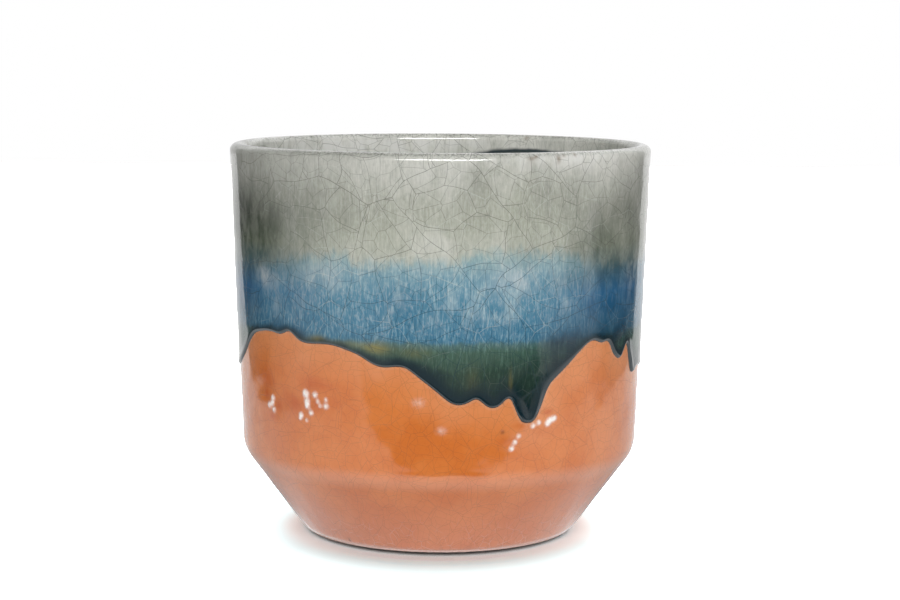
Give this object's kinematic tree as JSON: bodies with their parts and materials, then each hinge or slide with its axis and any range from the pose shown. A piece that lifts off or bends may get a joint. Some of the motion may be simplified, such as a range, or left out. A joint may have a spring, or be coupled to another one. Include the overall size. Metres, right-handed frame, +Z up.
{
  "type": "cachepot",
  "caption": "Round glazed earthenware cachepot with a ridge above a tapered base, a drip glaze over a plain coat, and clear pads.",
  "frame": {"origin": "on the table under the middle of the pot, level with the undersides of the pads", "axes": "+Z up along the pot's axis, -Y towards the front that the picture shows, +X to the right in it"},
  "size_m": [0.1698, 0.1698, 0.158],
  "materials": {
    "fired_clay": "bare fired earthenware, matt",
    "orange_crackle_glaze": "glossy, finely crackled",
    "reactive_crackle_glaze": "glossy, crackled, grey over blue over dark green",
    "liner_glaze": "glossy, crackled",
    "clear_pad": "clear soft plastic, glossy"
  },
  "bodies": {
    "root": {"clay_body": "fired_clay", "orange_glaze": "orange_crackle_glaze", "reactive_glaze": "reactive_crackle_glaze", "liner_glaze": "liner_glaze", "foot_pad_left": "clear_pad", "foot_pad_right": "clear_pad", "foot_pad_back": "clear_pad"}
  },
  "joints": []
}
